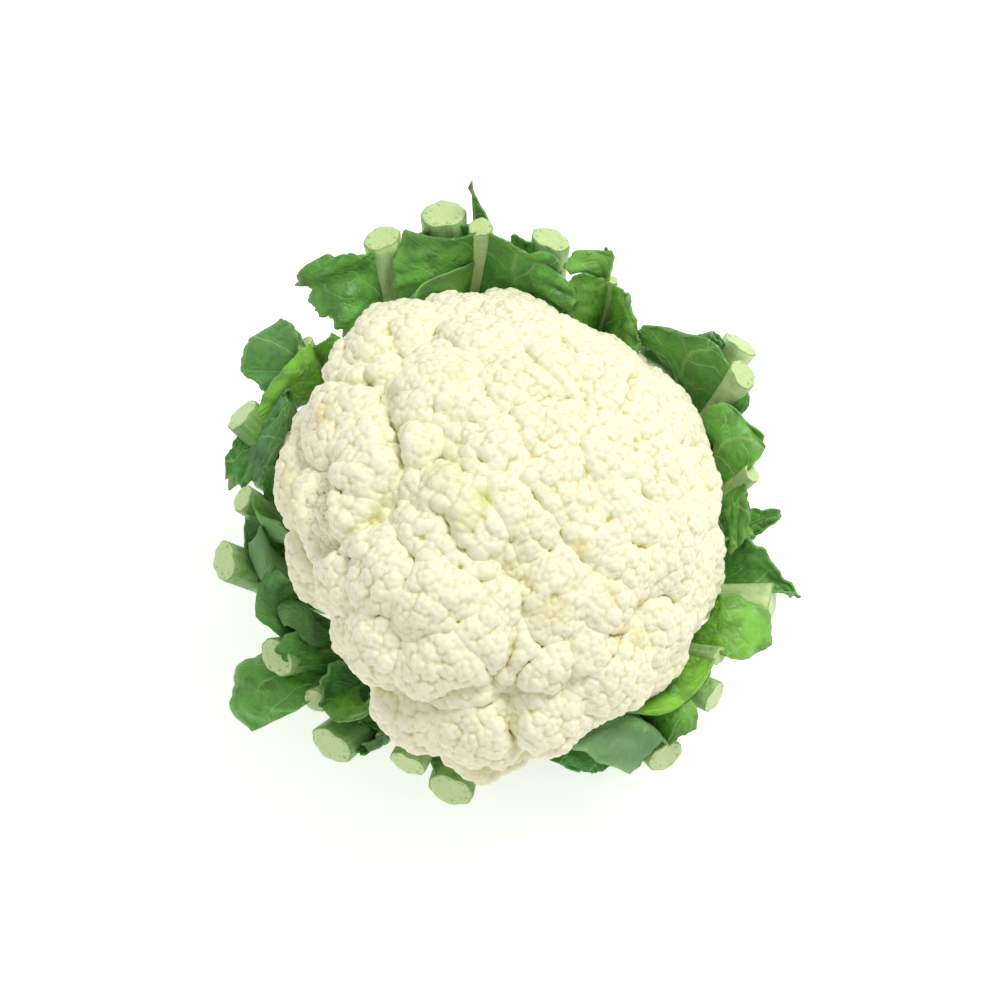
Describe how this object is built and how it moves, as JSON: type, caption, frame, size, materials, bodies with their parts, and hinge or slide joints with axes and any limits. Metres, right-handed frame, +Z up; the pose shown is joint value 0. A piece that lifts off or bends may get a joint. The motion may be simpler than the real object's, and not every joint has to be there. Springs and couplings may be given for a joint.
{
  "type": "cauliflower head",
  "caption": "Trimmed cauliflower: a lobed cream curd on a short cut stalk, ringed by thick green leaf stubs with ragged scraps of blade.",
  "frame": {"origin": "centre of the flat cut at the foot of the stalk", "axes": "+Z up along the stalk to the top of the curd; -Y is the front, where the leaves are cut lowest; +Y is the back, where they stand highest"},
  "size_m": [0.1968, 0.2046, 0.1213],
  "materials": {
    "curd": "matte, moist",
    "stalk": "satin",
    "outer_leaf": "satin",
    "middle_leaf": "satin",
    "inner_leaf": "satin"
  },
  "bodies": {
    "root": {"curd": "curd", "stalk": "stalk", "outer_leaf_1": "outer_leaf", "outer_leaf_2": "outer_leaf", "outer_leaf_3": "outer_leaf", "outer_leaf_4": "outer_leaf", "outer_leaf_5": "outer_leaf", "outer_leaf_6": "outer_leaf", "outer_leaf_7": "outer_leaf", "outer_leaf_8": "outer_leaf", "outer_leaf_9": "outer_leaf", "middle_leaf_1": "middle_leaf", "middle_leaf_2": "middle_leaf", "middle_leaf_3": "middle_leaf", "middle_leaf_4": "middle_leaf", "middle_leaf_5": "middle_leaf", "middle_leaf_6": "middle_leaf", "middle_leaf_7": "middle_leaf", "middle_leaf_8": "middle_leaf", "middle_leaf_9": "middle_leaf", "inner_leaf_1": "inner_leaf", "inner_leaf_2": "inner_leaf", "inner_leaf_3": "inner_leaf", "inner_leaf_4": "inner_leaf", "inner_leaf_5": "inner_leaf", "inner_leaf_6": "inner_leaf", "inner_leaf_7": "inner_leaf"}
  },
  "joints": []
}
